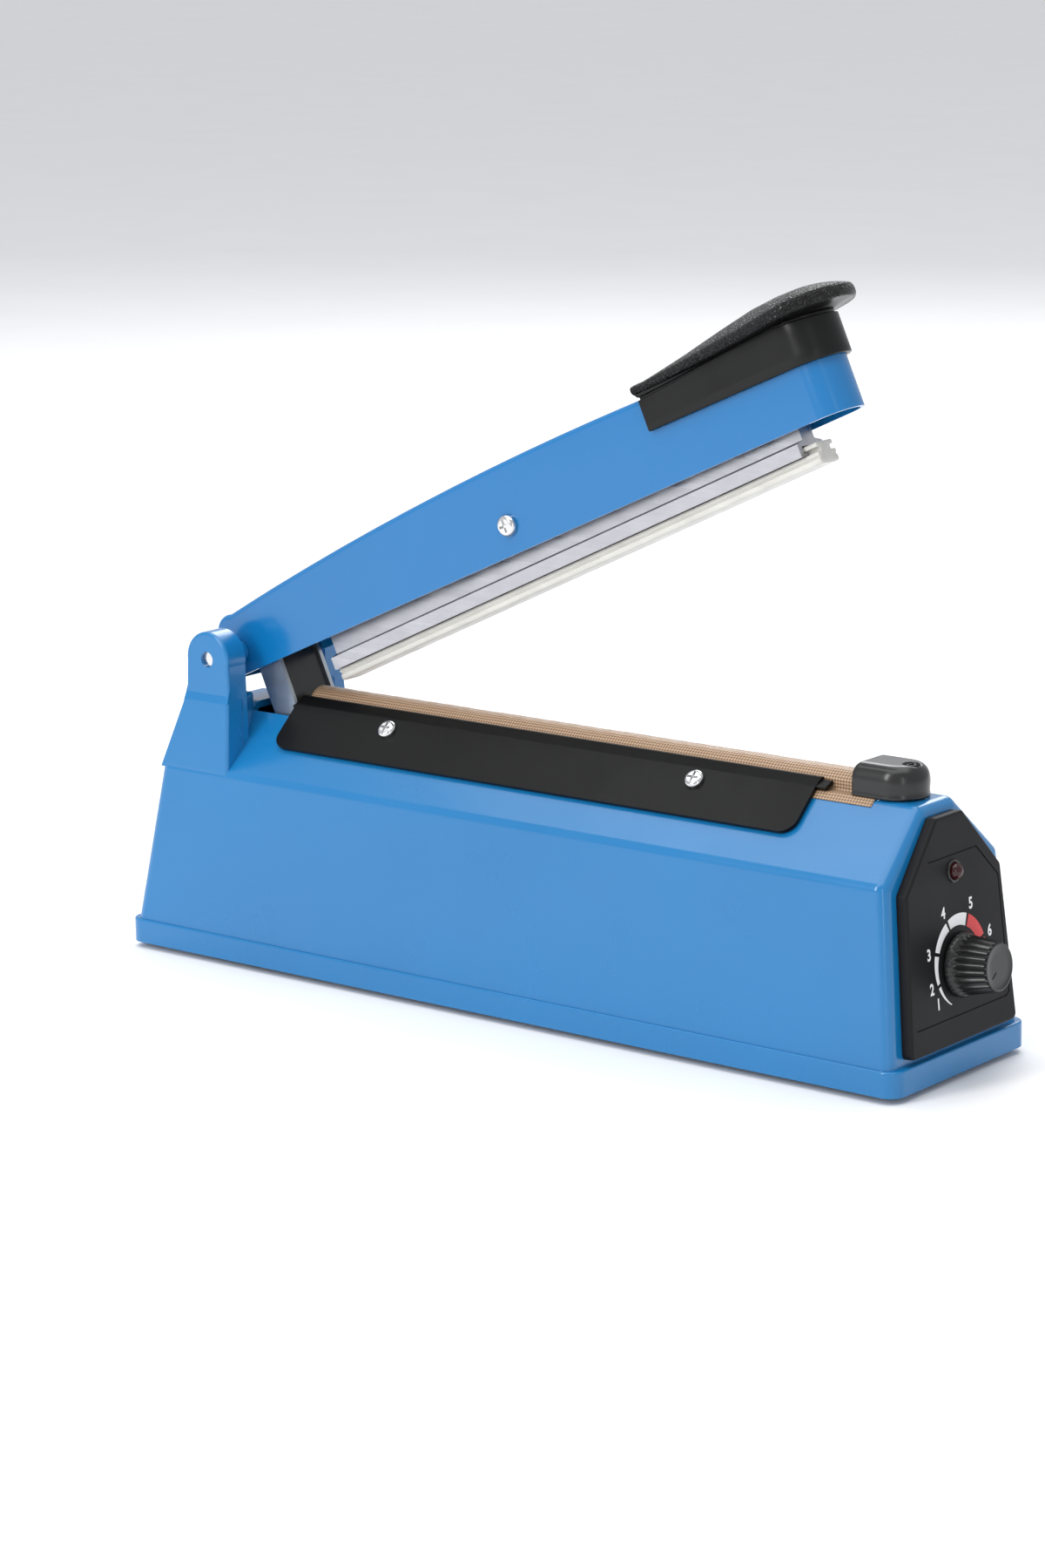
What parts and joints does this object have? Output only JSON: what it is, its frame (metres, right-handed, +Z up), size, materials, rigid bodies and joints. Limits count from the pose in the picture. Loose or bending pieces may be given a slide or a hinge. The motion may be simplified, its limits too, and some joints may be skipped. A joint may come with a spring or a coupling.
{
  "type": "impulse heat sealer",
  "caption": "Bench-top hand impulse heat sealer: sloped housing with a cloth-covered sealing ridge, hinged press arm with a grip pad, timer dial and indicator lamp.",
  "frame": {"origin": "on the ground under the middle of the machine's overall length and width", "axes": "+X along the machine to the end with the timer dial, +Z up, -Y to the operator's side"},
  "size_m": [0.3129, 0.0706, 0.2293],
  "materials": {
    "blue_shell": "moulded ABS, glossy blue",
    "blue_arm": "gloss blue paint on pressed steel",
    "black_panel": "black moulded plastic, fine satin texture",
    "black_gloss": "black moulded plastic, glossy",
    "pad_black": "black moulded plastic, leather grained top",
    "clamp_black": "black stoved paint on folded steel",
    "foot_rubber": "black rubber",
    "zinc": "bright zinc plated sheet",
    "steel": "plain steel",
    "screw_chrome": "nickel plated, cross recess",
    "aluminium": "extruded aluminium, drawn finish",
    "silicone": "translucent white silicone",
    "ptfe": "brown coated glass cloth, fine diagonal weave",
    "brass": "plain brass",
    "copper": "enamelled copper winding",
    "laminations": "varnished laminations",
    "board": "green board",
    "nylon": "black nylon",
    "nylon_white": "white nylon",
    "ceramic": "phenolic block",
    "lamp_red": "clear dark red lens",
    "wire": "coloured plastic insulation",
    "element": "resistance strip"
  },
  "bodies": {
    "base": {"housing": "blue_shell", "base_plate": "zinc", "rubber_feet": "foot_rubber", "base_screws": "screw_chrome", "cord_grommet": "foot_rubber", "terminal_block": "nylon_white", "inner_wires": "wire", "sealing_bar": "aluminium", "bar_blocks": "ceramic", "bar_block_screws": "steel", "insulating_tape": "ptfe", "heating_element": "element", "ptfe_cloth": "ptfe", "clamp_plate_near": "clamp_black", "clamp_plate_far": "clamp_black", "clamp_screws": "screw_chrome", "terminal_cover": "black_gloss", "cover_screw": "steel", "front_terminal": "brass", "rear_terminal": "brass", "hinge_pin": "steel", "hinge_spacers": "nylon", "return_spring": "steel", "spring_post": "zinc", "micro_switch": "nylon", "switch_bracket": "zinc", "switch_screws": "steel", "transformer_core": "laminations", "transformer_bobbin": "nylon_white", "transformer_winding": "copper", "transformer_bracket": "zinc", "transformer_screws": "steel", "control_panel": "black_panel", "timer_control": "steel", "timer_board": "board", "board_capacitors": "nylon", "board_relay": "nylon", "board_posts": "nylon_white", "indicator_lamp": "lamp_red"},
    "arm": {"arm_channel": "blue_arm", "handle_pad": "pad_black", "pad_screws": "screw_chrome", "arm_bracket": "zinc", "bracket_block": "nylon", "spring_hook": "steel", "bar_screw": "screw_chrome", "bar_nut": "screw_chrome"},
    "press_bar": {"bar_extrusion": "aluminium", "silicone_strip": "silicone"},
    "knob": {"timer_knob": "black_gloss", "knob_shaft": "steel"},
    "plunger": {"switch_plunger": "nylon_white"}
  },
  "joints": [
    {"name": "arm_hinge", "type": "hinge", "parent": "base", "child": "arm", "pos_m": [-0.12497, 0, 0.0976], "axis": [0, 1, 0], "range_deg": [0, 19.35], "stiffness_Nm_per_rad": 1.2, "springref_deg": -40.11, "deforming": ["return_spring"]},
    {"name": "bar_rock", "type": "hinge", "parent": "arm", "child": "press_bar", "pos_m": [-0.01431, 0, 0.14898], "axis": [0, 1, 0], "range_deg": [0, 5.6]},
    {"name": "timer_turn", "type": "hinge", "parent": "base", "child": "knob", "pos_m": [0.14237, 0, 0.0342], "axis": [-0.9956, 0, -0.0938], "range_deg": [0, 285]},
    {"name": "plunger_press", "type": "slide", "parent": "base", "child": "plunger", "axis": [-1, 0, 0], "range_m": [0, 0.00102]}
  ],
  "couplings": [
    {"joint": "bar_rock", "follows": "arm_hinge", "ratio": 0.28136},
    {"joint": "plunger_press", "follows": "arm_hinge", "m_per_rad": 0.002961}
  ]
}
